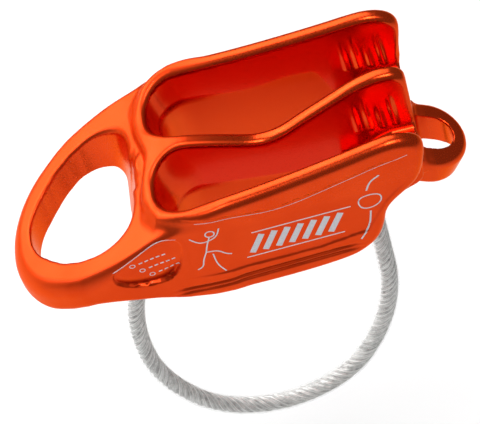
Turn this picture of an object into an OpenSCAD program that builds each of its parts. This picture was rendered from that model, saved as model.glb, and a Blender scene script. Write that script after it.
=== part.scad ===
// Tube-style belay and rappel device: a forged aluminium body with two rope
// slots, a large anchor eye, a small release eye and a sleeved wire keeper.
// Origin: centre of the anchor eye. X runs along the body to the release eye,
// Y across the two slots, Z up through the slots. The keeper hangs down.

/* [Body] */
// half width of the body over the outer walls at the anchor end
half_w = 19; // [17:0.1:22]
// half width over the outer walls at the release end
half_w_end = 16.2; // [14:0.1:20]
// height of the outer wall rims over the bottom edge, anchor end
rim_h = 26; // [20:0.5:32]
// thickness of each wall at its rim
wall_t = 2.7; // [2:0.1:4]
// how much thicker each wall face is below the step in the slots
step_t = 0.5; // [0:0.1:1]
// depth of the recessed panel in each outer face
panel_d = 0.5; // [0:0.1:1]

/* [Rope slots] */
// rounding of the slots' closed ends
slot_end_r = 6.6; // [5:0.1:8]
// x of the slots' closed ends
slot_x0 = -18.1; // [-20:0.1:-15]
// height of the step in the slot walls over the bottom edge
slot_step_h = 17; // [8:0.5:22]

/* [Anchor eye] */
// radius of the eye's outer end
anchor_end_r = 9.5; // [8:0.1:11]
// outer radius of the ring's round end
ring_r = 14.2; // [12:0.1:17]
// slope of the ring's top face down from the body
anchor_tilt = 30; // [20:1:40]
// height of the ring, straight down through the eye
ring_t = 10; // [8:0.1:12]
// rounding of the ring's top and bottom edges
ring_edge = 1.6; // [0.5:0.1:3]

/* [Release eye] */
// radius of the small eye's rounded end
release_r = 3.8; // [3:0.1:5]
// slope of the small eye down from the body
release_tilt = 28; // [20:1:40]
// outer radius of the small eye
release_out_r = 7.4; // [6.5:0.1:9]
// thickness of the small eye along its own axis
release_t = 7; // [5:0.1:9]

/* [Keeper] */
// diameter of the wire rope
rope_d = 3.2; // [2.5:0.1:4]
// outer diameter of the clear sleeve
sleeve_d = 4.2; // [3.4:0.1:5]
// diameter of the swaged ends and of their drilled seats
ferrule_d = 4; // [3.6:0.1:4.4]
// length of rope left bare between the sleeve and each mouth
bare_l = 1.7; // [1.2:0.1:4]

/* [Hidden] */
$fn = 64;
eye_x = -33.9;
eye_z = 3.6;
bottom_z = -5;
rim_z = bottom_z + rim_h;
taper = atan((half_w - half_w_end) / 55);
slot_top_in = half_w - wall_t;
slot_low_in = slot_top_in - step_t;
slot_step_z = bottom_z + slot_step_h;
top_slope = tan(anchor_tilt);
rope_r = rope_d / 2;
sleeve_r = sleeve_d / 2;
ferrule_r = ferrule_d / 2;
mouth = 0.5;
lap = 0.05;
orange = [0.84, 0.22, 0.06];
steel = [0.8, 0.81, 0.8];
clear = [0.92, 0.93, 0.93, 0.35];

// the keeper's route in the plane y = 0, as [x, z] and a heading in degrees:
// a straight leg, arcs of [radius, angle] and a straight leg
keeper_start = [-23.25, -0.1];
keeper_heading = -106.44;
leg_a = 27.83;
leg_b = 29.7;
arcs = [[64.7, 19.9], [40.1, 29.4], [19.6, 71.6], [27.3, 43],
        [60.9, 32.54]];

function dir(a) = [cos(a), sin(a)];
function side(a) = [-sin(a), cos(a)];
function heading(i) = i == 0 ? keeper_heading
  : heading(i - 1) + arcs[i - 1][1];
function centre(i) = corner(i) + arcs[i][0] * side(heading(i));
function corner(i) = i == 0 ? keeper_start + leg_a * dir(keeper_heading)
  : centre(i - 1) - arcs[i - 1][0] * side(heading(i));
keeper_end = corner(5) + leg_b * dir(heading(5));

// puts the drawing, made about the body, into the frame of the anchor eye
module at_eye() { translate([-eye_x, 0, -eye_z]) children(); }

// side profile of the outer walls, x against z
module wall_side() {
  polygon([[-26, 12], [-26, -0.3], [-22.5, -0.9], [-19, -2.6],
           [-15, -3.9], [-11.4, -4.6], [-3.6, -5], [5, -5], [12, -4.5],
           [16.2, -3.7], [19.4, -1.6], [21.2, 0.8], [22.3, 4], [23, 7],
           [24.6, 9.6], [28.1, 12.5], [29.9, 14.5], [31.2, 17.8],
           [32, 22.5], [31.8, 24.2], [30.6, 25.5], [28, 26.3],
           [24.6, 26.2], [16.7, 24.3], [5.2, 22.3], [-2.5, 21.4],
           [-9.6, rim_z], [-14, 20.7], [-18.4, 19.2], [-24, 15.2]]);
}

// the middle wall dips between the two ends
module middle_side() {
  polygon([[-22, 0], [-19, -2.6], [-11.4, -4.6], [-3.6, -5], [5, -5],
           [12, -4.5], [17, -3.6], [24, 0.5], [32, 4.6], [32, 22],
           [31.4, 24.6], [29.6, 26.7], [27.4, 27.2], [25, 27],
           [21, 25.7], [15.2, 22.3], [11, 20], [7, 17.6], [4, 16.6],
           [1, 16.8], [-3, 18.1], [-7.9, 19.8], [-12, 20.9],
           [-15.4, 20.4], [-18.4, 19.2], [-22, 17]]);
}

// plan of the walls, with a rounded lobe round each slot's closed end
module walls_plan() {
  for (s = [-1, 1]) translate([-11.8, s * 8.9]) circle(r = 9.3);
  translate([-19.3, -9]) square([8, 18]);
  polygon([[-17.5, -16.4], [-12, -half_w], [32, -half_w_end],
           [32, half_w_end], [-12, half_w], [-17.5, 16.4]]);
}

// one rope passage in plan, from the middle wall to an outer wall
module slot_plan(y0, y1, x0) {
  r = slot_end_r - (x0 - slot_x0) / 2;
  difference() {
    union() {
      translate([x0 + r, y0]) square([60, y1 - y0]);
      translate([x0 + r, y0 + r]) circle(r = r);
      translate([x0 + r, y1 - r]) circle(r = r);
      translate([x0, y0 + r]) square([r, y1 - y0 - 2 * r]);
    }
    translate([x0 + r, y1]) rotate(-taper) square([70, 8]);
  }
}

// the slots run out over the sloped end wall under the horns
module slot_side() {
  polygon([[-30, -12], [16, -12], [16.2, -4.8], [18.6, 2], [20.5, 7.5],
           [23.5, 10.8], [28, 12.4], [60, 12.8], [60, 40], [-30, 40]]);
}

module slot_cut(z0, h, y0, y1, x0) {
  intersection() {
    translate([0, 0, z0]) linear_extrude(h) slot_plan(y0, y1, x0);
    rotate([90, 0, 0]) translate([0, 0, -20]) linear_extrude(40) slot_side();
  }
}

module slots() {
  for (s = [0, 1]) mirror([0, s, 0]) {
    slot_cut(slot_step_z, 30, wall_t / 2, slot_top_in, slot_x0);
    slot_cut(-12, slot_step_z + 12.01, wall_t / 2 + step_t, slot_low_in,
             slot_x0 + step_t);
  }
}

module walls() {
  difference() {
    intersection() {
      translate([0, 0, -10]) linear_extrude(50) walls_plan();
      rotate([90, 0, 0]) translate([0, 0, -20]) linear_extrude(40)
        wall_side();
    }
    translate([-12, -wall_t, slot_step_z]) cube([50, 2 * wall_t, 30]);
  }
  rotate([90, 0, 0]) translate([0, 0, -wall_t / 2]) linear_extrude(wall_t)
    middle_side();
  seat_bosses();
}

// thickens the web and the middle wall round the drilled keeper seats
module seat_bosses() {
  at_mouth(keeper_start, keeper_heading) translate([0, 0, -mouth])
    cylinder(r = ferrule_r + 0.9, h = 8);
  at_mouth(keeper_end, -90) translate([0, 0, -mouth])
    cylinder(r = ferrule_r + 1.1, h = 12);
}

// a frame at a keeper mouth, with +Z pointing up into the seat
module at_mouth(p, a) {
  translate([p[0], 0, p[1]]) rotate([0, -90 - a, 0]) children();
}

// drilled from below, blind at the top
module seats() {
  at_mouth(keeper_start, keeper_heading) translate([0, 0, -6])
    cylinder(r = ferrule_r, h = 21.8);
  at_mouth(keeper_end, -90) translate([0, 0, -6])
    cylinder(r = ferrule_r, h = 16.4);
}

// carries the small eye under the horns
module eye_root() {
  rotate([90, 0, 0]) translate([0, 0, -7.2]) linear_extrude(14.4)
    polygon([[17, -4], [20.4, -2.6], [26, 0.6], [31, 2.6], [31, 8.2],
             [24, 9], [21, 4]]);
}

// outer outline of the ring, from its round end to the body's full width
module ring_plan(inset) {
  translate([-36.3, 0]) circle(r = ring_r - inset, $fn = 96);
  for (s = [-1, 1]) translate([-31, s * 3.4]) circle(r = ring_r - inset);
  polygon([[-38, -15 + inset], [-30, -17.6 + inset], [-17, -half_w + inset],
           [-17, half_w - inset], [-30, 17.6 - inset], [-38, 15 - inset]]);
}

// side view of the ring, with its top and bottom edges cut back
module ring_side(inset) {
  polygon([[-52, 4.5 - 12 * top_slope - inset],
           [-17.5, 4.5 + 22.5 * top_slope - inset],
           [-17.5, -0.9 + inset], [-22, -0.9 + inset],
           [-24, -0.3 + inset], [-33, -0.3 + inset],
           [-36, -1.4 + inset], [-40, -4.2 + inset],
           [-45, -7.2 + inset], [-52, -9.5 + inset]]);
}

module ring_layer(inset, cut) {
  intersection() {
    translate([0, 0, -40]) linear_extrude(80) ring_plan(inset);
    rotate([90, 0, 0]) translate([0, 0, -25]) linear_extrude(50)
      ring_side(cut);
  }
}

module anchor_ring() {
  ring_layer(ring_edge, 0);
  ring_layer(ring_edge / 3, ring_edge / 3);
  ring_layer(0, ring_edge);
}

// egg-shaped, with its wide end at the body and a ramp below the lobes
module anchor_hole() {
  difference() {
    translate([0, 0, -40]) linear_extrude(80) {
      translate([-36.2, 0]) circle(r = anchor_end_r);
      for (s = [-1, 1]) {
        translate([-34.9, s * 1.5]) circle(r = 9.45);
        translate([-33.6, s * 2.9]) circle(r = 9.3);
        translate([-32, s * 4.2]) circle(r = 8.9);
        translate([-30.5, s * 5.2]) circle(r = 8.3);
      }
      translate([-32, -5.2]) square([9.8, 10.4]);
    }
    rotate([90, 0, 0]) translate([0, 0, -20]) linear_extrude(40)
      polygon([[-22.2, 14.5], [-25.9, -0.3], [-25.9, -9], [-17, -9],
               [-17, 14.5]]);
  }
}

module release_ring() {
  translate([34.2, 0, 6.8]) rotate([0, release_tilt, 0])
    translate([0, 0, -release_t]) linear_extrude(release_t) {
      circle(r = release_out_r);
      translate([-9, -release_out_r]) square([9, 2 * release_out_r]);
    }
}

module release_hole() {
  translate([34.1, 0, -10]) linear_extrude(40) {
    circle(r = release_r);
    translate([-2.6, -release_r]) square([2.6, 2 * release_r]);
  }
}

// shallow panel in each outer face
module panels() {
  for (s = [0, 1]) mirror([0, s, 0])
    translate([0, -half_w, 0]) rotate([0, 0, taper])
      translate([0, panel_d, 0]) rotate([90, 0, 0]) linear_extrude(3)
        polygon([[-13.4, 0.6], [14, 0.4], [19.4, 2.4], [20.6, 9],
                 [29, 17.4], [29.4, 23.6], [14, 20.2], [3, 18.2],
                 [-9, 17.6], [-12.6, 16.6]]);
}

module body() {
  color(orange) at_eye() difference() {
    union() { walls(); anchor_ring(); eye_root(); release_ring(); }
    slots();
    anchor_hole();
    release_hole();
    panels();
    seats();
  }
}
body();

// rope end swaged into its sleeve and pressed into a seat
module swaged_end(p, a, h) {
  color(steel) at_eye() at_mouth(p, a) translate([0, 0, 2.2])
    cylinder(r = ferrule_r + 0.005, h = h);
}

module ferrule_anchor() { swaged_end(keeper_start, keeper_heading, 13.3); }
ferrule_anchor();

module ferrule_release() { swaged_end(keeper_end, -90, 8); }
ferrule_release();

// cross-section of the rope or, with an inner radius, of its sleeve
module section(r, r_in) {
  difference() {
    circle(r = r);
    if (r_in > 0) circle(r = r_in);
  }
}

// a straight piece of the route, from p along heading a
module leg(p, a, l, r, r_in) {
  translate([p[0], p[1], 0]) rotate([0, 90, a]) linear_extrude(l)
    section(r, r_in);
}

// the same with a rounded end at p, which turns in the mouth of a seat
module round_leg(p, a, l, r) {
  translate([p[0], p[1], 0]) rotate([0, 90, a]) rotate_extrude() {
    square([r, l]);
    intersection() {
      circle(r = r);
      translate([0, -r]) square([r, r]);
    }
  }
}

// every other bend is a hair thicker than its neighbours
function grain(i) = i % 2 == 0 ? 0.006 : 0;

// the curved middle of the route
module bends(r, r_in) {
  for (i = [0:4])
    translate([centre(i)[0], centre(i)[1], 0]) rotate(heading(i) - 90)
      rotate_extrude(angle = arcs[i][1] + lap) translate([arcs[i][0], 0])
        section(r + grain(i), r_in > 0 ? r_in + grain(i) : 0);
}

module keeper_rope() {
  color(steel) at_eye() rotate([90, 0, 0]) {
    round_leg(keeper_start, keeper_heading, leg_a, rope_r);
    bends(rope_r, 0);
    round_leg(keeper_end, -90, leg_b, rope_r);
  }
}
keeper_rope();

module keeper_sleeve() {
  start = keeper_start + bare_l * dir(keeper_heading);
  end = keeper_end + bare_l * dir(-90);
  bore_r = rope_r + 0.02;
  color(clear) at_eye() rotate([90, 0, 0]) {
    leg(start, keeper_heading, leg_a - bare_l, sleeve_r, bore_r);
    bends(sleeve_r, bore_r);
    leg(end, -90, leg_b - bare_l, sleeve_r, bore_r);
  }
}
keeper_sleeve();
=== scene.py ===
"""A tube-style rope descender: anodised aluminium body, wire rope keeper in a clear sleeve.

Shapes are drawn in millimetres about the body, as in the CAD source, and moved into
the frame of the anchor eye, in metres, when they become meshes.
"""

import math

import bmesh
import bpy
import numpy as np
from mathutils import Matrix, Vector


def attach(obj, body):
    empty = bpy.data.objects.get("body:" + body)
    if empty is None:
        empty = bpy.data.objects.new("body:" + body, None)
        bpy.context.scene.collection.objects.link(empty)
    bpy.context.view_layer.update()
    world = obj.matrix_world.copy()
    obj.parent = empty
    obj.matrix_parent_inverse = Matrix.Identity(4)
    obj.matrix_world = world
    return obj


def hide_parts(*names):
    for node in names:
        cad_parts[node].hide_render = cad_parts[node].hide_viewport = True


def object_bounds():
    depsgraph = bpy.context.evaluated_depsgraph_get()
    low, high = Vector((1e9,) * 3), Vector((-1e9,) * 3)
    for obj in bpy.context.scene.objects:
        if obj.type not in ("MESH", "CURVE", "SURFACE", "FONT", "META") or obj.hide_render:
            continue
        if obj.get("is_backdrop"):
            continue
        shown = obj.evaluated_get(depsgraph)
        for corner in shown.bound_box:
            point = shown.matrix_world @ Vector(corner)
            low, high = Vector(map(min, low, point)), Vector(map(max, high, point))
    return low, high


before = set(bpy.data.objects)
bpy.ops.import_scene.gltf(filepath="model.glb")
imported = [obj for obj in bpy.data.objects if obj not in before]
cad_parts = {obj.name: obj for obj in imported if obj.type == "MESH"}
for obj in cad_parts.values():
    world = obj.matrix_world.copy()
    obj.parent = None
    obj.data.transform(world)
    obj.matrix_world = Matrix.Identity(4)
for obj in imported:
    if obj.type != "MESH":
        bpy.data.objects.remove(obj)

import openvdb
from mathutils import Matrix, Vector

MM = 0.001
EYE = np.array([-33.9, 0.0, 3.6])  # the anchor eye's centre, in the body's own millimetres

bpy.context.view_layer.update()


def in_frame(points):
    """Points in the body's millimetres, in the shared frame's metres."""
    return (np.asarray(points, float) - EYE) * MM


# ---------------------------------------------------------------- camera and cord route

VIEW_DOWN = math.radians(54)  # how steeply the camera looks down
VIEW_ROLL = math.radians(8.4)
VIEW_PITCH = math.radians(6.2)  # how far the body's release end is tipped up
VIEW_FAR = 450.0  # from the camera to the body's middle, along the view
AIM = (4.231, 4.231)  # how far right of and above the view's axis the body's middle is
LENS = 175.5
SENSOR_W = 36


def camera_axes():
    """The camera's right, up and forward, as rows, in the body's axes."""
    forward = np.array([0, math.cos(VIEW_DOWN), -math.sin(VIEW_DOWN)])
    level_up = np.array([0, math.sin(VIEW_DOWN), math.cos(VIEW_DOWN)])
    level_right = np.array([1.0, 0, 0])
    c, s = math.cos(VIEW_ROLL), math.sin(VIEW_ROLL)
    axes = np.array([c * level_right - s * level_up, s * level_right + c * level_up, forward])
    c, s = math.cos(VIEW_PITCH), math.sin(VIEW_PITCH)
    return axes @ np.array([[c, 0, -s], [0, 1, 0], [s, 0, c]])


def make_camera():
    """The camera, above the near outer wall and looking down into the slots."""
    data = bpy.data.cameras.new("camera")
    data.sensor_width = SENSOR_W
    data.lens = LENS
    data.clip_start, data.clip_end = 0.01, 10
    camera = bpy.data.objects.new("camera", data)
    bpy.context.scene.collection.objects.link(camera)
    axes = camera_axes()
    middle = np.array([*AIM, VIEW_FAR])
    place = in_frame(-middle @ axes)
    matrix = Matrix.Identity(4)
    for column, axis in enumerate((axes[0], axes[1], -axes[2])):
        for row in range(3):
            matrix[row][column] = axis[row]
        matrix[column][3] = place[column]
    camera.matrix_world = matrix
    bpy.context.scene.camera = camera


# The keeper's route in the plane y = 0: a straight leg, arcs of (radius, degrees), a straight leg
KEEPER_START = (-23.25, -0.1)
KEEPER_HEADING = -106.44
KEEPER_END = (19.8, -2.4)
END_HEADING = -90
LEG_A = 27.83
LEG_B = 29.7
ARCS = ((64.7, 19.9), (40.1, 29.4), (19.6, 71.6), (27.3, 43.0), (60.9, 32.54))
FERRULE_D = 4.0
MOUTH_FLARE = 0.8  # how fast each mouth widens downwards, to let the keeper swing
MOUTH_H = 0.5
MOUTH_BELOW = 6  # how far below its mouth a seat's bore goes on, clear of the metal
ROUTE_STEP = 0.5
SEATS = (  # place of the mouth, heading, depth and thickness of the boss
    (KEEPER_START, KEEPER_HEADING, 15.8, 0.9),
    (KEEPER_END, END_HEADING, 10.4, 1.1),
)


def keeper_route():
    """Points down the middle of the keeper and their headings, in millimetres and radians."""
    x, z = KEEPER_START
    heading = math.radians(KEEPER_HEADING)
    points, headings = [(x, z)], [heading]
    for radius, turn in ((None, LEG_A), *ARCS, (None, LEG_B)):
        if radius is None:
            length, bend = turn, 0.0
        else:
            bend = math.radians(turn)
            length = radius * bend
        count = max(2, round(length / ROUTE_STEP))
        for _ in range(count):
            half = bend / count / 2
            heading += half
            step = length / count
            x += step * math.cos(heading)
            z += step * math.sin(heading)
            heading += half
            points.append((x, z))
            headings.append(heading)
    route = np.array([(px, 0.0, pz) for px, pz in points])
    return route, np.array(headings)


# ---------------------------------------------------------------- mesh helpers


def mesh_piece(name, points, faces, material, body, normals=None):
    """A piece from points in the body's millimetres, riding on a CAD body."""
    mesh = bpy.data.meshes.new(name)
    mesh.from_pydata(in_frame(points).tolist(), [], faces)
    mesh.materials.append(material)
    mesh.shade_smooth()
    if normals is not None:
        mesh.normals_split_custom_set_from_vertices(normals.tolist())
    piece = bpy.data.objects.new(name, mesh)
    bpy.context.scene.collection.objects.link(piece)
    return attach(piece, body)


def tube(line, radius, sides, first=0):
    """Points and faces of a closed tube along a line; faces count from first."""
    line = np.asarray(line, float)
    ahead = np.gradient(line, axis=0)
    ahead /= np.linalg.norm(ahead, axis=1)[:, None]
    across = np.cross(ahead, [0.0, 1.0, 0.0])
    flat = np.linalg.norm(across, axis=1) < 1e-6
    across[flat] = (1.0, 0.0, 0.0)
    across /= np.linalg.norm(across, axis=1)[:, None]
    up = np.cross(ahead, across)
    turn = np.linspace(0, 2 * math.pi, sides, endpoint=False)
    rings = (
        line[:, None]
        + radius * np.cos(turn)[None, :, None] * across[:, None]
        + radius * np.sin(turn)[None, :, None] * up[:, None]
    )
    return rings.reshape(-1, 3), ring_faces(len(line), sides, first)


# ---------------------------------------------------------------- distance fields, in millimetres


def smooth_outline(corners, rounds=2):
    """A closed outline with its corners cut in rounds of quarter steps."""
    points = np.array(corners, float)
    for _ in range(rounds):
        following = np.roll(points, -1, axis=0)
        points = np.stack([0.75 * points + 0.25 * following, 0.25 * points + 0.75 * following], 1)
        points = points.reshape(-1, 2)
    return points


def outline_distance(points, u, v):
    """Signed distance to a closed outline in the plane of u and v, negative inside."""
    nearest = np.full(np.broadcast(u, v).shape, np.inf)
    inside = np.zeros(nearest.shape, bool)
    for (au, av), (bu, bv) in zip(points, np.roll(points, -1, axis=0)):
        eu, ev = bu - au, bv - av
        pu, pv = u - au, v - av
        along = np.clip((pu * eu + pv * ev) / (eu * eu + ev * ev), 0, 1)
        gap_u, gap_v = pu - along * eu, pv - along * ev
        nearest = np.minimum(nearest, gap_u * gap_u + gap_v * gap_v)
        crosses = (av > v) != (bv > v)
        if ev != 0:
            inside ^= crosses & (pu < eu * pv / ev)
    return np.where(inside, -1, 1) * np.sqrt(nearest)


def circle_distance(u, v, centre_u, centre_v, radius):
    return np.hypot(u - centre_u, v - centre_v) - radius


def past_line(u, v, start, end):
    """Distance to the left of the line from start to end."""
    eu, ev = end[0] - start[0], end[1] - start[1]
    return (eu * (v - start[1]) - ev * (u - start[0])) / math.hypot(eu, ev)


def join(a, b, r):
    """Union with a fillet of radius r."""
    return np.maximum(r, np.minimum(a, b)) - np.hypot(np.maximum(r - a, 0), np.maximum(r - b, 0))


def meet(a, b, r):
    """Intersection with the edge rounded to radius r."""
    return np.minimum(-r, np.maximum(a, b)) + np.hypot(np.maximum(a + r, 0), np.maximum(b + r, 0))


def soft_max(a, b, width):
    """The larger of two fields, blended where they are within width of each other."""
    near = np.maximum(width - np.abs(a - b), 0) / width
    return np.maximum(a, b) + near * near * width / 4


def cut(a, b, r):
    """a without b, with the edge rounded to radius r."""
    return meet(a, -b, r)


def ramp(value, low, high):
    """0 below low, 1 above high, and smooth between."""
    t = np.clip((value - low) / (high - low), 0, 1)
    return t * t * (3 - 2 * t)


# ---------------------------------------------------------------- the body's shape

HALF_W = 19.0
OUTER_T = 3.3
MIDDLE_T = 3.1
STEP_T = 0.3  # how far the slots' walls stand in below the step
SLOT_X0 = -18.1
SLOT_END_R = 6.6
WALL_EDGE_R = 1.7
SLOT_RIM_R = 1.25
SLOT_RIM_MORE = 0.5  # what the rim's radius gains round the closed ends
SLOT_CORNER_R = 1.3  # where a slot's walls meet what closes it below the release end
CLOSED_LEAN = 1.7  # how far a slot's closed end leans in with depth
FACE_TAPER = 2.8 / 44
TOP_SLOPE = math.radians(30)
ARM_TOP = 18.2
RELEASE_TILT = math.radians(28)
RELEASE_AT = (34.2, 6.8)
RELEASE_R = 3.8
RELEASE_OUT_R = 7.4
RELEASE_T = 7.0
RELEASE_HOLE_X = 34.1
RELEASE_HOLE_BACK = 2.6  # how far the hole goes on behind its round end's centre

WALL_SIDE = smooth_outline([
    (-26, 12), (-26, -0.3), (-22.5, -0.9), (-19, -2.6), (-15, -3.9), (-11.4, -4.6), (-3.6, -5),
    (5, -5), (12, -4.5), (16.2, -3.7), (19.4, -1.6), (21.2, 0.8), (22.3, 4), (23, 7),
    (24.6, 9.6), (28.1, 12.5), (30.1, 14.5), (31.4, 17.8), (32.3, 22.3), (32, 24.6),
    (30.2, 26.3), (27.4, 27.1), (24.2, 26.9), (16.7, 25.2), (5.2, 23.1), (-2.5, 22),
    (-9.6, 21.3), (-14, 20.9), (-18.4, 19.3), (-24, 15.2)])
MIDDLE_SIDE = smooth_outline([
    (-22, 0), (-19, -2.6), (-11.4, -4.6), (-3.6, -5), (5, -5), (12, -4.5), (17, -3.6),
    (24, 0.5), (32, 4.6), (32.2, 22), (31.8, 25.4), (30.0, 27.4), (27.4, 27.7), (25, 27.4),
    (21, 25.9), (15.2, 22.4), (11, 20), (7, 17.4), (4, 16.4), (1, 16.6), (-3, 18.1),
    (-7.9, 19.8), (-12, 20.9), (-15.4, 20.5), (-18.4, 19.3), (-22, 17)])
SLOT_SIDE = smooth_outline([
    (-40, -22), (16, -22), (16.2, -4.8), (18.6, 2), (20.5, 7.5), (23.5, 10.8), (28, 12.4),
    (60, 12.8), (60, 60), (-40, 60)], 1)
END_SIDE = smooth_outline([
    (14, -5), (18.5, -3), (21.5, 3.0), (23.4, 7), (27, 9.8), (30.8, 11.3), (31.6, 12.9),
    (31.5, 15), (20, 15), (14, 8)], 1)
LINER_SIDE = smooth_outline([
    (20, 8), (27, 10), (30.4, 11.5), (31.2, 13), (31.6, 18), (31.8, 22.5), (31, 24.2), (29, 25),
    (20, 22)], 1)
RING_BOTTOM = smooth_outline([
    (-70, -9.5), (-52, -9.5), (-45, -7.2), (-40, -4.2), (-36, -1.6), (-33, -0.5), (-28.5, -0.4),
    (-24, -1.4), (-19.5, -3.2), (-15, -4.3), (-6, -4.5), (-6, 60), (-70, 60)], 2)
ARM_PLAN = smooth_outline([
    (-38, -1), (-38, 14.8), (-30, 17.7), (-21, 18.8), (-14, 18.9), (-7, 16), (-7, -1)], 2)

POCKET = smooth_outline([
    (-29.6, 8.2), (-28.6, 9.8), (-18, 16.8), (-14.6, 15.6), (-15.2, 10.3), (-17.2, 5.4),
    (-20.2, 3.0), (-25.9, 3.7), (-29.2, 5.6)])
PANEL = smooth_outline([
    (-15.5, 19.9), (-14, 12), (-15.5, 4), (-17, 2.6), (18, 2.2), (21.5, 8), (24, 12),
    (29.4, 17), (30.2, 24.4), (4.4, 17.6), (-4, 18.9), (-13, 20.6)], 1)
GROOVE_Z = (0.0, -1.3)
GROOVE_W = 0.34
GROOVE_DEEP = 0.58


def face_half_width(x):
    """Half the body's width over its outer faces, at each x."""
    return HALF_W - FACE_TAPER * np.maximum(x + 12, 0)


def walls_plan(x, a):
    """Plan of the walls: lobes round the slots' closed ends and tapering outer faces."""
    lobe = circle_distance(x, a, -11.8, 8.9, 9.3)
    web = np.maximum(np.abs(x + 8) - 11.3, a - 9)
    sides = soft_max(a - face_half_width(x), past_line(x, a, (-18.5, 14.6), (-9, 19.3)), 1.6)
    sides = np.maximum(sides, -17.5 - x)
    return join(join(lobe, sides, 2.5), web, 2.6)


def slot_plan(x, a, lean=0.0):
    """One rope passage in plan, from the middle wall to an outer wall."""
    r = SLOT_END_R
    inner = MIDDLE_T / 2 - a
    outer = a - (face_half_width(x) - OUTER_T)
    closed = SLOT_X0 + lean - x
    return meet(meet(inner, closed, r), outer, r)


RIDGE_PITCH = 2.4
RIDGE_H = 0.4


def ridges(x, z):
    """Height of the friction ridges on the slot walls under the horns."""
    turn = (x - 20.9 + 0.04 * (z - 12)) / RIDGE_PITCH
    tips = 23.0 + 1.2 * np.sin(np.round(turn) * 2.4)
    across = ramp(x, 19.6, 21.0) * ramp(-x, -29.9, -28.6)
    down = ramp(tips - z, 0, 6.5) * ramp(z, 12.9, 14.1)
    wave = (0.5 + 0.5 * np.cos(turn * 2 * math.pi)) ** 1.6
    return RIDGE_H * across * down * wave


def step_height(x, a):
    """Where the slots' lower, milled stretch begins, on the middle wall and on the outer walls."""
    on_middle = 7.6 - 0.1 * (x + 14) * (x > -14)
    on_outer = 12.4 + 2.2 * ramp(x, 0, 12) * ramp(-x, -20, -14)
    return on_middle + (on_outer - on_middle) * ramp(a, 5, 12)


def slot_distance(x, a, z):
    """The rope passage, with its ridges and its step."""
    side = outline_distance(SLOT_SIDE, x, z)
    plan = slot_plan(x, a, CLOSED_LEAN * ramp(20 - z, 0, 11))
    step = STEP_T * ramp(-x, 3, 12) * ramp(step_height(x, a) - z, -0.8, 0.8)
    return meet(plan + ridges(x, z) + step, side, SLOT_CORNER_R)


def release_eye(x, a, z):
    """The small eye, tilted down from the body, and its hole."""
    c, s = math.cos(RELEASE_TILT), math.sin(RELEASE_TILT)
    u = (x - RELEASE_AT[0]) * c - (z - RELEASE_AT[1]) * s
    w = (x - RELEASE_AT[0]) * s + (z - RELEASE_AT[1]) * c
    plan = np.hypot(np.maximum(u, 0), a) - RELEASE_OUT_R
    plan = np.maximum(plan, -u - 9)
    slab = np.abs(w + RELEASE_T / 2) - RELEASE_T / 2
    hole = np.hypot(np.maximum(x - RELEASE_HOLE_X, 0), a) - RELEASE_R
    return meet(plan, slab, 1.6), meet(hole, RELEASE_HOLE_X - x - RELEASE_HOLE_BACK, 1.0)


def anchor_ring(x, a, z):
    """The ring of the large eye and the arms that carry it, before its hole is cut."""
    circles = join(circle_distance(x, a, -36.3, 0, 14.2), circle_distance(x, a, -31, 3.4, 14.2), 6)
    plan = join(circles, outline_distance(ARM_PLAN, x, a), 5)
    top = (z - 4.5 - (x + 40) * math.tan(TOP_SLOPE)) * math.cos(TOP_SLOPE)
    top = meet(top, z - ARM_TOP, 1.5)
    bottom = outline_distance(RING_BOTTOM, x, z)
    solid = meet(plan, top, 1.5 + 1.9 * ramp(-x, 22, 36))
    return meet(solid, bottom, 1.2 + 1.0 * ramp(-x, 24, 36))


def anchor_hole(x, a, z):
    """The large egg-shaped hole, with a back that leans with the keeper's seat."""
    plan = circle_distance(x, a, -36.2, 0, 9.5)
    for cx, ca, r in ((-34.9, 1.5, 9.45), (-33.6, 2.9, 9.3), (-32, 4.2, 8.9), (-30.5, 5.2, 8.3)):
        plan = np.minimum(plan, circle_distance(x, a, cx, ca, r))
    plan = np.minimum(plan, np.maximum(np.abs(x + 26.5) - 5.6, a - 4.8))
    back = past_line(x, z, (-21.7, 14.9), (-25.9, -0.3))
    return meet(plan, back, 2.5)


def seat(x, a, z, place, heading):
    """Distance off a drilled seat's axis, and height up the seat from its mouth."""
    turn = math.radians(heading)
    up_x, up_z = -math.cos(turn), -math.sin(turn)
    up = (x - place[0]) * up_x + (z - place[1]) * up_z
    off = (x - place[0]) * up_z - (z - place[1]) * up_x
    return np.hypot(off, a), up


def seats(x, a, z):
    """The bosses and the drilled bores that hold the keeper's swaged ends."""
    bosses, bores = np.inf, np.inf
    for place, heading, depth, wall in SEATS:
        off, up = seat(x, a, z, place, heading)
        boss = meet(off - FERRULE_D / 2 - wall, np.abs(up - depth / 2) - depth / 2 - 0.5, 0.6)
        bore = np.maximum(off - FERRULE_D / 2, np.maximum(up - depth, -MOUTH_BELOW - up))
        flare = off - FERRULE_D / 2 - MOUTH_FLARE * np.maximum(MOUTH_H - up, 0)
        mouth = np.maximum(flare, np.maximum(up - MOUTH_H, -MOUTH_BELOW - up))
        bosses = np.minimum(bosses, boss)
        bores = np.minimum(bores, np.minimum(bore, mouth))
    return bosses, bores


def face_details(x, a, z):
    """How far the recessed panel, the pocket and the grooves cut into an outer face."""
    fade = ramp(x, -17, -9) * ramp(-x, -29, -22)
    panel = 0.3 * ramp(-outline_distance(PANEL, x, z), -0.25, 0.25) * fade
    inside = -outline_distance(POCKET, x, z)
    deep = 0.25 + 0.95 * ramp(-z, -13, -4) * ramp(-inside, -3.5, 0.5)
    pocket = deep * ramp(inside, -0.05, 0.5)
    along = ramp(x, -20, -15) * ramp(-x, -18.5, -12)
    groove = sum(np.exp(-((z - gz - 0.02 * x) / GROOVE_W) ** 2) for gz in GROOVE_Z)
    return np.where(a > 12, panel + pocket + GROOVE_DEEP * groove * along, 0)


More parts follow.
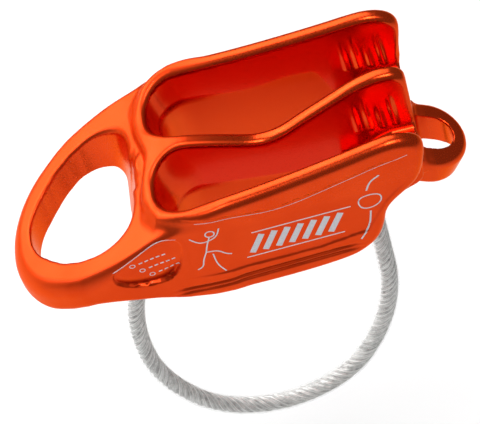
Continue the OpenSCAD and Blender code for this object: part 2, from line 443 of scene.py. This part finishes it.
def walls_distance(x, a, z):
    """The lobes and the walls, with the block below the release end and the horns' liners."""
    on_middle, on_outer = outline_distance(MIDDLE_SIDE, x, z), outline_distance(WALL_SIDE, x, z)
    side = on_middle + (on_outer - on_middle) * ramp(a, 3, 9)
    walls = meet(walls_plan(x, a), side, WALL_EDGE_R)
    end = meet(outline_distance(END_SIDE, x, z), a - face_half_width(x) + 2.9, 1.0)
    walls = join(walls, end, 1.0)
    liner = meet(outline_distance(LINER_SIDE, x, z), a - face_half_width(x) + 1.9, 0.6)
    return join(walls, liner, 0.4)


def rooted_eye(x, a, z):
    """The small eye with its root under the body, and its hole."""
    root = np.maximum(a - 7.2, past_line(x, z, (31, 5.4), (17, -3)))
    root = np.maximum(root, past_line(x, z, (17, 6), (31, 8.2)))
    root = np.maximum(root, np.abs(x - 24) - 7.5)
    eye, hole = release_eye(x, a, z)
    return join(eye, root, 1.2), hole


def body_distance(x, y, z):
    """Signed distance to the body, negative inside the metal."""
    a = np.abs(y)
    solid = join(walls_distance(x, a, z), anchor_ring(x, a, z), 0.6 + 1.4 * ramp(a, 9, 14))
    near_face = ramp(a - face_half_width(x), -2, -1.2)
    solid = np.maximum(solid, solid + face_details(x, a, z) * near_face)
    rim = SLOT_RIM_R + SLOT_RIM_MORE * ramp(-x, 4, 15) * ramp(a, 2, 6)
    solid = cut(solid, slot_distance(x, a, z), rim)
    bosses, bores = seats(x, a, z)
    solid = join(solid, bosses, 0.8)
    eye, eye_hole = rooted_eye(x, a, z)
    solid = join(solid, eye, 0.5)
    solid = cut(solid, anchor_hole(x, a, z), 0.8 + 0.5 * ramp(x, -31, -25))
    solid = cut(solid, eye_hole, 0.45)
    return cut(solid, bores, 0.2)


def body_masks(points):
    """By name: where the slots are deep red or freshly milled, and where the surface is polished."""
    x, a, z = points[:, 0], np.abs(points[:, 1]), points[:, 2]
    in_slot = ramp(-np.abs(slot_distance(x, a, z)), -0.28, -0.08)
    in_slot *= ramp(-slot_plan(x, a, CLOSED_LEAN / 2), -0.8, -0.6)
    low = ramp(step_height(x, a) - z, -0.7, 0.7) * ramp(x, -17.4, -16.2)
    low *= ramp(18 + 0.35 * (6 - z) - x, -0.5, 1.0)
    high = in_slot * (1 - low)
    ends = in_slot * ramp(-x, 9, 14)
    eye = ramp(x, 33, 34)
    hole = ramp(-np.abs(anchor_hole(x, a, z)), -0.3, -0.05)
    rim = ramp(z, 14, 16) * ramp(x, -12, -2)
    high *= 1 - 0.35 * ramp(x, 19, 23)
    polish = np.clip(high + 0.8 * eye + 0.6 * hole + 0.55 * rim + ends, 0, 1)
    red = high * (1 - 0.9 * ramp(x, 19, 25)) * (1 - 0.6 * ramp(-x, 9, 14))
    return {"slot_upper": red, "slot_lower": in_slot * low, "polish": polish}


VOXEL = 0.5
FIELD_REACH = 3.0  # distances past this are not kept in the grid
GRID_LOW = np.array([-52.0, -20.4, -10.4])
GRID_HIGH = np.array([43.4, 20.4, 29.4])


def body_mesh():
    """Points, faces and normals of the body's surface."""
    axes = [np.arange(low, high, VOXEL) for low, high in zip(GRID_LOW, GRID_HIGH)]
    x, y, z = axes[0][:, None, None], axes[1][None, :, None], axes[2][None, None, :]
    field = body_distance(x, y, z).astype(np.float32)
    grid = openvdb.FloatGrid()
    grid.background = FIELD_REACH
    grid.copyFromArray(np.clip(field, -FIELD_REACH, FIELD_REACH))
    points, triangles, quads = grid.convertToPolygons(isovalue=0.0, adaptivity=0.0)
    points = points.astype(float) * VOXEL + GRID_LOW
    faces = [tuple(int(i) for i in f) for f in [*triangles, *quads]]
    points, faces = split_fine(on_surface(points), faces)
    points = on_surface(points)
    normals, _ = surface_normals(points)
    return points, faces, normals


def on_surface(points):
    """Points moved along the field's slope onto the surface."""
    normals, value = surface_normals(points)
    return points - np.clip(value, -VOXEL, VOXEL)[:, None] * normals


def fine_zone(points):
    """Where the surface carries ridges, grooves, the pocket or the panel's edge."""
    x, a, z = points[:, 0], np.abs(points[:, 1]), points[:, 2]
    face = a > face_half_width(x) - 2.2
    bands = np.abs(z - sum(GROOVE_Z) / 2 - 0.02 * x) < 1.9
    pocket = outline_distance(POCKET, x, z) < 0.9
    panel = np.abs(outline_distance(PANEL, x, z)) < 0.5
    ridged = (np.abs(slot_plan(x, a, CLOSED_LEAN / 2)) < 1.2) & (x > 19) & (x < 31) & (z > 11)
    return face & (bands | pocket | panel) | ridged


def split_fine(points, faces):
    """The mesh with every edge in the fine zone split in two."""
    mesh = bpy.data.meshes.new("coarse")
    mesh.from_pydata(points.tolist(), [], faces)
    fine = fine_zone(points)
    work = bmesh.new()
    work.from_mesh(mesh)
    edges = [e for e in work.edges if fine[e.verts[0].index] and fine[e.verts[1].index]]
    bmesh.ops.subdivide_edges(work, edges=edges, cuts=1, use_grid_fill=True)
    work.verts.index_update()
    points = np.array([v.co[:] for v in work.verts])
    faces = [tuple(v.index for v in face.verts) for face in work.faces]
    work.free()
    bpy.data.meshes.remove(mesh)
    return points, faces


def surface_normals(points, reach=0.05):
    """Outward unit normals at points, and the field there."""
    value = body_distance(*points.T)
    slope = np.stack([
        body_distance(*(points + reach * np.eye(3)[k]).T)
        - body_distance(*(points - reach * np.eye(3)[k]).T) for k in range(3)], 1)
    length = np.maximum(np.linalg.norm(slope, axis=1), 1e-9)
    return slope / length[:, None], value


# ---------------------------------------------------------------- materials

ORANGE = (0.75, 0.054, 0.009, 1)
ORANGE_WARM = (0.80, 0.066, 0.012, 1)
WIRE_STEEL = (0.95, 0.95, 0.93, 1)
WIRE_DULL = (0.3, 0.3, 0.29, 1)
# Painted shade: the dark colour in the flutes between a strand's wires and on the rope's core
WIRE_FLUTE_SHADE = (0.1, 0.1, 0.095, 1)
SWAGE_STEEL = (0.6, 0.6, 0.6, 1)
SLOT_RED = (0.68, 0.026, 0.012, 1)
MILLED = (0.80, 0.07, 0.012, 1)
PIT_DARK = (0.2, 0.006, 0.003, 1)
SLEEVE_CLEAR = (0.86, 0.87, 0.85, 1)
SLEEVE_MILKY = (0.94, 0.94, 0.93, 1)
# Bare metal of the etched marks, also used for the painted highlight lines along the panel's and
# pocket's top edges
ETCHED_AND_HIGHLIGHT_DARK = (0.70, 0.69, 0.73, 1)
ETCHED_AND_HIGHLIGHT_LIGHT = (0.84, 0.83, 0.86, 1)
FLOOR_DARK = (0.93, 0.93, 0.93, 1)
FLOOR_LIGHT = (0.95, 0.95, 0.95, 1)


class Shading:
    """A node material with a Principled shader, built from short calls."""

    def __init__(self, name, **constants):
        self.material = bpy.data.materials.new(name)
        self.material.use_nodes = True
        self.nodes = self.material.node_tree.nodes
        self.links = self.material.node_tree.links
        self.shader = self.nodes["Principled BSDF"]
        for socket, value in constants.items():
            self.shader.inputs[socket.replace("_", " ")].default_value = value

    def node(self, kind, inputs=None, **settings):
        """A node with settings, and inputs that are values or other nodes' outputs."""
        node = self.nodes.new(kind)
        for key, value in settings.items():
            setattr(node, key, value)
        for key, value in (inputs or {}).items():
            if isinstance(value, bpy.types.NodeSocket):
                self.links.new(value, node.inputs[key])
            else:
                node.inputs[key].default_value = value
        return node

    def place(self):
        return self.node("ShaderNodeTexCoord").outputs["Object"]

    def noise(self, scale, detail=2.0, rough=0.5, place=None):
        """A noise whose grains are about a millimetre at scale 1000."""
        inputs = {"Vector": place or self.place(), "Scale": scale, "Detail": detail,
                  "Roughness": rough}
        return self.node("ShaderNodeTexNoise", inputs).outputs["Fac"]

    def spread(self, value, low, high, to_low=0.0, to_high=1.0):
        inputs = {"Value": value, "From Min": low, "From Max": high, "To Min": to_low,
                  "To Max": to_high}
        return self.node("ShaderNodeMapRange", inputs).outputs["Result"]

    def mask(self, name):
        return self.node("ShaderNodeAttribute", attribute_name=name).outputs["Fac"]

    def blend(self, factor, first, second):
        node = self.node("ShaderNodeMix", data_type="RGBA")
        for index, value in ((0, factor), (6, first), (7, second)):
            if isinstance(value, bpy.types.NodeSocket):
                self.links.new(value, node.inputs[index])
            else:
                node.inputs[index].default_value = value
        return node.outputs[2]

    def sum(self, first, second, kind="ADD"):
        node = self.node("ShaderNodeMath", operation=kind)
        for index, value in enumerate((first, second)):
            if isinstance(value, bpy.types.NodeSocket):
                self.links.new(value, node.inputs[index])
            else:
                node.inputs[index].default_value = value
        return node.outputs[0]

    def bump(self, height, distance, strength=1.0, under=None):
        inputs = {"Height": height, "Distance": distance, "Strength": strength}
        if under is not None:
            inputs["Normal"] = under
        return self.node("ShaderNodeBump", inputs).outputs["Normal"]

    def set(self, socket, value):
        self.links.new(value, self.shader.inputs[socket])


def anodised_material():
    """Orange-red anodising over a tumbled forging, polished inside the slots."""
    m = Shading("anodised", Metallic=1.0, Specular_Tint=(1.0, 0.64, 0.45, 1), Coat_Weight=0.03)
    place = m.place()
    broad = m.noise(90, 3, 0.5, place)
    grain = m.noise(3800, 2, 0.55, place)
    speckle = m.spread(m.noise(2600, 1, 0.5, place), 0.60, 0.72)
    colour = m.blend(m.spread(broad, 0.35, 0.65), ORANGE, ORANGE_WARM)
    colour = m.blend(m.mask("slot_upper"), colour, SLOT_RED)
    colour = m.blend(m.mask("slot_lower"), colour, MILLED)
    pits = m.sum(speckle, m.sum(m.mask("slot_upper"), 0.28, "MULTIPLY"), "MULTIPLY")
    colour = m.blend(pits, colour, PIT_DARK)
    m.set("Base Color", colour)
    rough = m.sum(m.spread(grain, 0.3, 0.7, 0.36, 0.44), m.sum(m.mask("polish"), 0.2, "MULTIPLY"),
                  "SUBTRACT")
    rough = m.sum(rough, m.sum(m.mask("slot_lower"), 0.12, "MULTIPLY"))
    m.set("Roughness", rough)
    m.set("Normal", m.bump(grain, 0.00002, 0.5))
    return m.material


def steel_material(name, colour, roughness):
    """Steel with faint streaks of a darker tone."""
    m = Shading(name, Metallic=1.0)
    streaks = m.noise(1500, 3, 0.6)
    darker = tuple(0.82 * c for c in colour[:3]) + (1,)
    m.set("Base Color", m.blend(m.spread(streaks, 0.3, 0.7), colour, darker))
    m.set("Roughness", m.spread(streaks, 0.3, 0.7, roughness, roughness + 0.12))
    return m.material


def wire_material():
    """Bright drawn wires, with painted shade darkening the flutes between them and the core between
    the strands.
    """
    m = Shading("wire", Metallic=0.35)
    streaks = m.spread(m.noise(900, 3, 0.6), 0.35, 0.65)
    wire = m.blend(m.sum(streaks, m.mask("tone"), "MULTIPLY"), WIRE_STEEL, WIRE_DULL)
    # Painted shade: the wire goes dark deep in the flutes and on the core
    m.set("Base Color", m.blend(m.spread(m.mask("flute_shade"), 0.4, 1.0), wire, WIRE_FLUTE_SHADE))
    m.set("Roughness", m.spread(streaks, 0, 1, 0.28, 0.42))
    return m.material


def sleeve_material():
    """Clear, slightly milky plastic."""
    m = Shading("clear_sleeve", Roughness=0.18, IOR=1.45)
    haze = m.noise(260, 3, 0.55)
    m.set("Base Color", m.blend(m.spread(haze, 0.3, 0.7), SLEEVE_CLEAR, SLEEVE_MILKY))
    m.set("Alpha", m.spread(haze, 0.3, 0.7, 0.14, 0.24))
    return m.material


# ---------------------------------------------------------------- keeper

STRANDS = 6
ROPE_LAY = 12.0  # length of one turn of a strand round the rope
STRAND_LAY = -60.0  # length of one turn of a wire round its strand, against the rope's lay
OUTER_WIRES = 9
POINTS_A_WIRE = 4
STRAND_R = 0.6
WIRE_GAP = 0.1  # depth of the flutes between a strand's wires


def strand(route, headings, phase, first):
    """Points and faces of one strand, fluted by its outer wires and wound round the route.

    The last array returned holds, at each point, how deep it is in a flute, which sets the painted
    shade there, and its wire's tone.
    """
    along = np.concatenate([[0], np.cumsum(np.linalg.norm(np.diff(route, axis=0), axis=1))])
    turn = phase + 2 * math.pi * along / ROPE_LAY
    zero = np.zeros_like(headings)
    level = np.stack([-np.sin(headings), zero, np.cos(headings)], 1)
    across = np.array([0.0, -1.0, 0.0])
    out = np.cos(turn)[:, None] * level + np.sin(turn)[:, None] * across
    line = route + 2 * STRAND_R * out
    ahead = np.gradient(line, axis=0)
    ahead /= np.linalg.norm(ahead, axis=1)[:, None]
    sideways = np.cross(ahead, out)
    sides = OUTER_WIRES * POINTS_A_WIRE
    corner = np.linspace(0, 2 * math.pi, sides, endpoint=False)
    angle = corner[None, :] + 2 * math.pi * along[:, None] / STRAND_LAY
    wire_turn = corner * OUTER_WIRES / 2 + 0.3
    flute = np.abs(np.sin(wire_turn))
    radius = STRAND_R - WIRE_GAP * (1 - flute)
    points = (
        line[:, None]
        + (radius * np.cos(angle))[:, :, None] * out[:, None]
        + (radius * np.sin(angle))[:, :, None] * sideways[:, None]
    )
    tone = 0.5 + 0.5 * np.sin(2.4 * np.floor(wire_turn / math.pi) + 1.7 * phase)
    shade = np.stack([np.tile(1 - flute, len(line)), np.tile(tone, len(line))], 1)
    return points.reshape(-1, 3), ring_faces(len(line), sides, first), shade


def ring_faces(rings, sides, first):
    """Faces of a closed tube of rings of points, counted from first."""
    faces = [
        (first + i * sides + j, first + i * sides + (j + 1) % sides,
         first + (i + 1) * sides + (j + 1) % sides, first + (i + 1) * sides + j)
        for i in range(rings - 1)
        for j in range(sides)
    ]
    faces.append(tuple(first + j for j in range(sides))[::-1])
    faces.append(tuple(first + (rings - 1) * sides + j for j in range(sides)))
    return faces


def add_mask(piece, name, values):
    """A value from 0 to 1 at each point of a piece, for its material to read."""
    layer = piece.data.attributes.new(name, "FLOAT", "POINT")
    layer.data.foreach_set("value", np.asarray(values, np.float32))


def make_keeper():
    """The wire rope, strand by strand over a core painted dark as shade, and the clear sleeve over
    it.
    """
    route, headings = keeper_route()
    # The core tube under the strands is painted fully dark, as painted shade in the gaps between the
    # strands
    points, faces = tube(route, STRAND_R, 8)
    all_points, all_faces, all_shades = [points], list(faces), [np.ones((len(points), 2))]
    for i in range(STRANDS):
        first = sum(len(p) for p in all_points)
        points, faces, shade = strand(route, headings, 2 * math.pi * i / STRANDS, first)
        all_points.append(points)
        all_faces += faces
        all_shades.append(shade)
    rope = mesh_piece("wire_rope", np.concatenate(all_points), all_faces, wire_material(), "keeper")
    shades = np.concatenate(all_shades)
    add_mask(rope, "flute_shade", shades[:, 0])
    add_mask(rope, "tone", shades[:, 1])
    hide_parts("keeper_rope")
    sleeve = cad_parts["keeper_sleeve"]
    sleeve.data.materials.clear()
    sleeve.data.materials.append(sleeve_material())
    length = float(np.linalg.norm(np.diff(route, axis=0), axis=1).sum()) * MM


def finish_ferrules():
    """The swaged ends in their seats get their own steel."""
    steel = steel_material("swaged_steel", SWAGE_STEEL, 0.4)
    for name in ("ferrule_anchor", "ferrule_release"):
        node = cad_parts[name]
        node.data.materials.clear()
        node.data.materials.append(steel)


# ---------------------------------------------------------------- etched marks and painted edge highlights

LINE_W = 0.26
MARK_UP = 0.025  # how far a mark stands off the face
MARK_DEEP = 0.05  # how far it goes in below the face


def skin(x, z):
    """y of the front face at x and z."""
    a = np.full(np.shape(x), 20.5)
    for _ in range(16):
        a -= 0.9 * body_distance(x, -a, z)
    return -a


def bar_edges(points, width):
    """The two long edges of a flat bar of one width along a line, as x and z."""
    line = np.array(points, float)
    ahead = np.gradient(line, axis=0)
    ahead /= np.linalg.norm(ahead, axis=1)[:, None]
    beside = np.stack([-ahead[:, 1], ahead[:, 0]], 1) * width / 2
    return np.stack([line + beside, line - beside], 1)


def curve_points(corners, rounds=3):
    """An open line with its corners cut smooth, its ends kept."""
    points = np.array(corners, float)
    for _ in range(rounds):
        middle = np.stack([0.75 * points[:-1] + 0.25 * points[1:],
                           0.25 * points[:-1] + 0.75 * points[1:]], 1).reshape(-1, 2)
        points = np.concatenate([points[:1], middle, points[-1:]])
    return points


def loop_points(centre, radius, squash=1.0, count=24):
    turn = np.linspace(0, 2 * math.pi, count + 1)
    return np.stack([centre[0] + radius * np.cos(turn),
                     centre[1] + squash * radius * np.sin(turn)], 1)


def straight(start, end, step=0.5):
    count = max(3, round(math.dist(start, end) / step))
    return np.linspace(start, end, count + 1)


def person_mark():
    """A plain stick figure with a rope leaving it, for the climber's side."""
    yield loop_points((-9.3, 15.4), 0.85), LINE_W
    for corners in (((-9.6, 14.4), (-10.4, 12.4), (-11.0, 10.2)),
                    ((-13.2, 15.2), (-11.8, 13.4), (-10.1, 13.3), (-8.2, 14.2), (-7.4, 16.4)),
                    ((-11.0, 10.2), (-8.8, 9.9), (-7.6, 8.2), (-6.6, 7.6)),
                    ((-11.0, 10.2), (-12.0, 7.9), (-12.4, 5.9), (-13.6, 5.2)),
                    ((-9.9, 9.2), (-9.8, 5.6), (-8.6, 2.9))):
        yield curve_points(corners), LINE_W


def grip_mark():
    """A plain rounded grip with the brake rope through it."""
    corners = np.array([(-2.2, 0.4), (-1.6, 1.9), (0.6, 2.2), (2.3, 1.5), (2.2, -0.6), (0.4, -1.9),
                        (-1.6, -1.6)])
    rounded = smooth_outline(corners, 2)
    yield np.concatenate([rounded, rounded[:2]]) + (20.4, 12.0), LINE_W
    yield curve_points(((23.2, 19.2), (21.2, 17.9), (20.3, 15.6))), LINE_W * 1.3
    yield curve_points(((20.2, 9.2), (19.4, 4.8), (17.2, 1.6))), LINE_W * 1.3


def twist_mark():
    """A short length of laid rope: slanting strands between two edge lines."""
    for i in range(7):
        x = -2.0 + 2.5 * i
        yield straight((x - 0.9, 6.0), (x + 1.7, 11.0)), 1.2
    yield straight((-4.2, 4.9), (14.6, 4.9)), LINE_W
    yield straight((-2.0, 12.1), (16.8, 12.1)), LINE_W


def table_mark():
    """Three rows of a ring and dashes, in the pocket."""
    rise = 0.28
    for row in range(3):
        x, z = -25.0 + 1.5 * row, 10.4 - 1.9 * row
        yield loop_points((x, z), 0.5, 1, 16), 0.16
        for dash in range(5):
            start = x + 1.3 + 1.15 * dash
            if start < -17.2:
                end = (start + 0.7, z + rise * (dash + 1.7))
                yield straight((start, z + rise * (dash + 1)), end), 0.3


def panel_edge_highlights():
    """Painted highlights: thin bright lines along the top edges of the recessed panel and of the
    pocket.
    """
    yield curve_points(((-11.4, 19.3), (-4, 18.1), (4.4, 16.8), (16, 19.8), (29.0, 23.3)), 4), 0.1
    yield curve_points(((-28.9, 9.6), (-23.5, 13.2), (-18.0, 16.7), (-15.6, 16.0)), 4), 0.1


def marks_mesh():
    """Points and faces of every mark and painted edge highlight, as flat bars laid on the front
    face.
    """
    # The painted highlights along the panel's and pocket's top edges come last
    marks = (*person_mark(), *grip_mark(), *twist_mark(), *table_mark(), *panel_edge_highlights())
    bars = [bar_edges(line, width) for line, width in marks]
    edges = np.concatenate(bars)
    x, z = edges[:, :, 0], edges[:, :, 1]
    y = skin(x, z)
    upper = np.stack([x, y - MARK_UP, z], 2)
    lower = np.stack([x, y + MARK_DEEP, z], 2)
    points = np.concatenate([upper, lower[:, ::-1]], 1).reshape(-1, 3)
    faces, count = [], 0
    for corners in bars:
        faces += ring_faces(len(corners), 4, 4 * count)
        count += len(corners)
    return points, faces


def etched_and_highlight_material():
    """Bare light metal, where the anodising is etched away; it also colours the painted edge
    highlights.
    """
    m = Shading("etched_and_highlights", Metallic=0.4)
    tone = m.spread(m.noise(2500), 0.3, 0.7)
    m.set("Base Color", m.blend(tone, ETCHED_AND_HIGHLIGHT_DARK, ETCHED_AND_HIGHLIGHT_LIGHT))
    m.set("Roughness", m.spread(tone, 0, 1, 0.5, 0.65))
    return m.material


def make_marks():
    """The etched marks on the front face, and the painted highlight lines along the top edges of the
    panel and the pocket.
    """
    etched_and_highlights = mesh_piece("etched_marks_and_edge_highlights", *marks_mesh(), etched_and_highlight_material(), "frame")
    etched_and_highlights.data.shade_flat()


# ---------------------------------------------------------------- stage

FLOOR_SIZE = 3.0  # metres from the middle of the floor to its edges
FLOOR_BELOW = 0.12  # metres from the keeper's lowest point down to the floor
WORLD_LIGHT = 0.22
LIGHTS = (  # name, direction, distance and size in metres, power in watts
    ("rear_softbox", (-0.35, 0.62, 0.75), 0.9, (0.9, 0.7), 6.6),
    ("left_softbox", (-0.9, 0.35, 0.42), 0.8, (0.7, 0.5), 3.2),
    ("overhead", (0.1, -0.25, 1.0), 1.2, (0.5, 0.3), 6),
)


def make_stage():
    """A plain pale floor, well below the keeper."""
    low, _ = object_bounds()
    floor_z = low.z - FLOOR_BELOW
    mesh = bpy.data.meshes.new("floor")
    size = FLOOR_SIZE
    mesh.from_pydata([(-size, -size, floor_z), (size, -size, floor_z), (size, size, floor_z),
                      (-size, size, floor_z)], [], [(0, 1, 2, 3)])
    floor = bpy.data.objects.new("floor", mesh)
    bpy.context.scene.collection.objects.link(floor)
    m = Shading("floor", Roughness=0.9)
    tone = m.spread(m.noise(4, 2), 0.3, 0.7)
    m.set("Base Color", m.blend(tone, FLOOR_DARK, FLOOR_LIGHT))
    mesh.materials.append(m.material)
    floor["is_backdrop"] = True


def add_light(name, direction, distance, size, power):
    """A soft rectangular light that looks at the object from a direction."""
    data = bpy.data.lights.new(name, "AREA")
    data.shape = "RECTANGLE"
    data.size, data.size_y = size
    data.energy = power
    light = bpy.data.objects.new(name, data)
    bpy.context.scene.collection.objects.link(light)
    towards = Vector(direction).normalized()
    low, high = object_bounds()
    light.location = (low + high) / 2 + towards * distance
    light.rotation_mode = "QUATERNION"
    light.rotation_quaternion = towards.to_track_quat("Z", "Y")


def make_lights():
    """Soft white light from all round and from three softboxes."""
    world = bpy.data.worlds.new("studio")
    bpy.context.scene.world = world
    world.use_nodes = True
    background = world.node_tree.nodes["Background"]
    background.inputs["Color"].default_value = (1, 1, 1, 1)
    background.inputs["Strength"].default_value = WORLD_LIGHT
    for light in LIGHTS:
        add_light(*light)
    bpy.context.scene.view_settings.view_transform = "Standard"


def make_body():
    """The anodised body, which takes the place of the CAD body."""
    points, faces, normals = body_mesh()
    body = mesh_piece("descender_body", points, faces, anodised_material(), "frame", normals)
    for mask_name, values in body_masks(points).items():
        add_mask(body, mask_name, values)
    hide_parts("body")


make_camera()
make_keeper()
finish_ferrules()
make_body()
make_marks()
make_stage()
make_lights()
